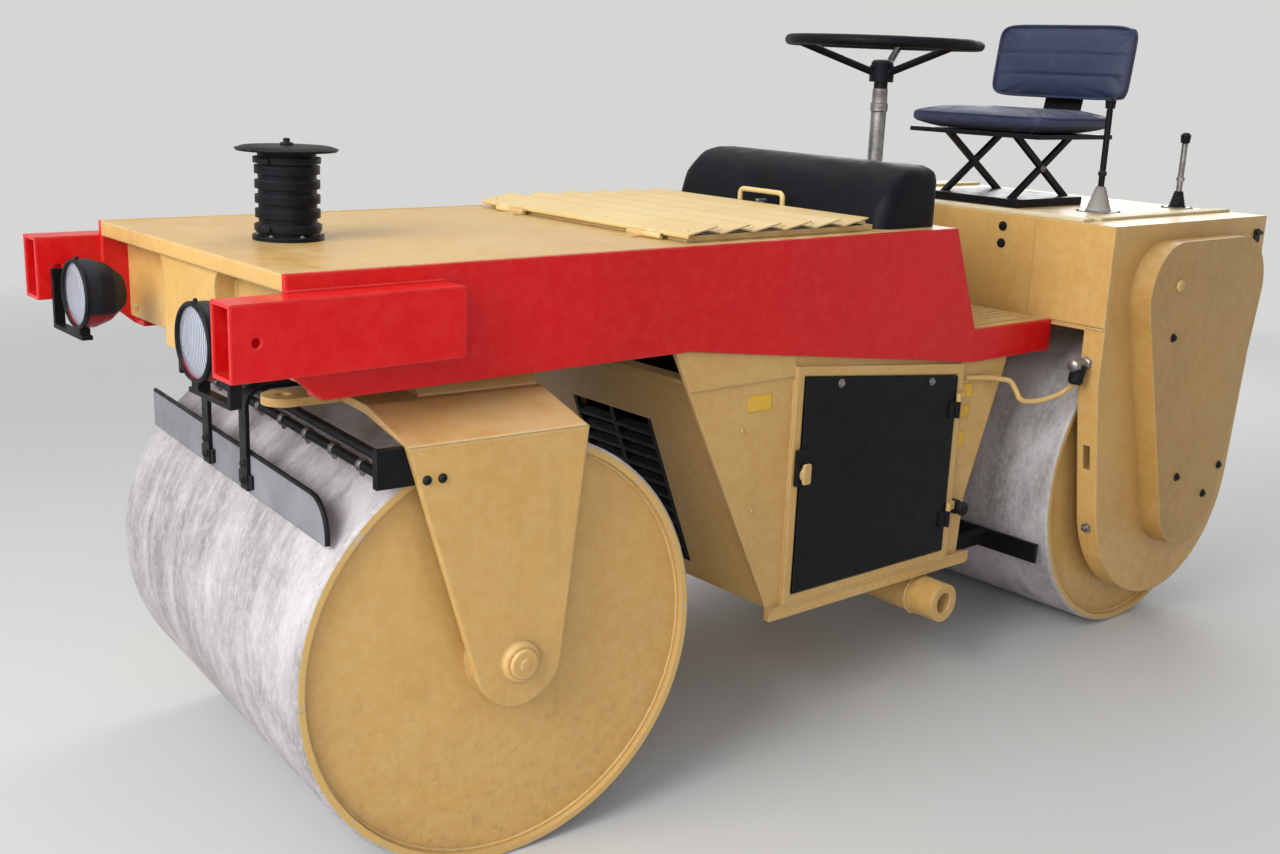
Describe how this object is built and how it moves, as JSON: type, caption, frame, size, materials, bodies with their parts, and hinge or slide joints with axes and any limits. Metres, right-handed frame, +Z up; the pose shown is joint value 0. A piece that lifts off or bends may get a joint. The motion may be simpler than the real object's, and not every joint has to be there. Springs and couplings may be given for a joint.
{
  "type": "road roller",
  "caption": "Tandem road roller with a steered front drum in a fork, side beams, a louvred engine cover and an open operator's seat.",
  "frame": {"origin": "on the floor under the middle of the machine's length and width", "axes": "+X forward, +Y to the machine's left, +Z up"},
  "size_m": [2.94, 1.196, 1.572],
  "materials": {
    "paint_tan": "semi-gloss ochre paint with dust",
    "paint_red": "gloss red paint",
    "black_paint": "satin black paint",
    "bare_steel": "worn bare steel",
    "drum_steel": "rolled steel, pale with dust",
    "black_plastic": "matt moulded plastic",
    "engine_iron": "dark cast iron",
    "lamp_glass": "ribbed lamp glass",
    "tread_rubber": "pale grit strip",
    "seat_vinyl": "dark blue vinyl"
  },
  "bodies": {
    "chassis": {"air_intake": "black_plastic", "bay_pan": "paint_tan", "bay_side_left": "paint_tan", "bay_side_right": "paint_tan", "bay_top_plate": "paint_tan", "beam_left": "paint_red", "beam_right": "paint_red", "case_cover_left": "paint_tan", "case_cover_right": "paint_tan", "console": "black_plastic", "cross_member": "paint_tan", "cross_tube": "paint_tan", "cylinder_bracket": "paint_tan", "drive_lever": "black_paint", "engine_block": "engine_iron", "footwell": "paint_tan", "front_deck": "paint_tan", "front_panel": "paint_tan", "front_tubes": "paint_red", "headlamp_lenses": "lamp_glass", "headlamps": "black_paint", "kingpin_housing": "paint_tan", "lamp_brackets": "black_paint", "platform_box": "paint_tan", "platform_treads": "tread_rubber", "rear_lever": "black_paint", "rear_scraper": "black_paint", "seat_back": "seat_vinyl", "seat_cushion": "seat_vinyl", "seat_frame": "black_paint", "side_case_left": "paint_tan", "side_case_right": "paint_tan", "steering_column": "black_paint", "tow_box": "paint_tan", "tow_pin": "bare_steel", "tube_saddles": "paint_tan", "wall_grille": "black_paint"},
    "yoke": {"fork_plate_left": "paint_tan", "fork_plate_right": "paint_tan", "fork_bridge": "paint_tan", "bridge_box": "paint_tan", "steering_lug": "paint_tan", "kingpin": "bare_steel", "scraper_blade": "black_paint", "scraper_arms": "black_paint", "sprinkler_pipes": "black_paint", "fork_lugs": "paint_tan"},
    "front_drum": {"front_drum_shell": "drum_steel", "front_drum_ends": "paint_tan"},
    "rear_drum": {"rear_drum_shell": "drum_steel", "rear_drum_ends": "paint_tan"},
    "steering_wheel": {"steering_wheel": "black_plastic"},
    "engine_cover": {"engine_cover": "paint_tan", "cover_handle": "bare_steel"},
    "door_left": {"side_door_left": "black_paint"},
    "door_right": {"side_door_right": "black_paint"},
    "cylinder_barrel": {"steering_barrel": "black_paint"},
    "cylinder_rod": {"steering_rod": "bare_steel"}
  },
  "joints": [
    {"name": "steering", "type": "hinge", "parent": "chassis", "child": "yoke", "pos_m": [0.93, 0, 0.88], "axis": [0, 0, 1], "range_deg": [-25, 35]},
    {"name": "front_drum_spin", "type": "hinge", "parent": "yoke", "child": "front_drum", "pos_m": [0.93, 0, 0.4], "axis": [0.0872, 0.9962, 0], "continuous": true},
    {"name": "rear_drum_spin", "type": "hinge", "parent": "chassis", "child": "rear_drum", "pos_m": [-1.07, 0, 0.4], "axis": [0, 1, 0], "continuous": true},
    {"name": "steering_wheel_turn", "type": "hinge", "parent": "chassis", "child": "steering_wheel", "pos_m": [-0.46, 0, 1.4], "axis": [0, 0, 1], "continuous": true},
    {"name": "engine_cover_hinge", "type": "hinge", "parent": "chassis", "child": "engine_cover", "pos_m": [0.49, 0, 1.0963], "axis": [0, 1, 0], "range_deg": [0, 75]},
    {"name": "door_left_hinge", "type": "hinge", "parent": "chassis", "child": "door_left", "pos_m": [-0.362, 0.397, 0.5], "axis": [0, 0, 1], "range_deg": [0, 110]},
    {"name": "door_right_hinge", "type": "hinge", "parent": "chassis", "child": "door_right", "pos_m": [-0.362, -0.397, 0.5], "axis": [0, 0, -1], "range_deg": [0, 110]},
    {"name": "cylinder_swing", "type": "hinge", "parent": "chassis", "child": "cylinder_barrel", "pos_m": [0.52, -0.08485, 0.902], "axis": [0, 0, 1], "range_deg": [-11, 8]},
    {"name": "rod_slide", "type": "slide", "parent": "cylinder_barrel", "child": "cylinder_rod", "axis": [1, 0, 0], "range_m": [-0.041, 0.056]}
  ],
  "couplings": [
    {"joint": "cylinder_swing", "follows": "steering", "ratio": -0.26},
    {"joint": "rod_slide", "follows": "steering", "m_per_rad": 0.086}
  ]
}
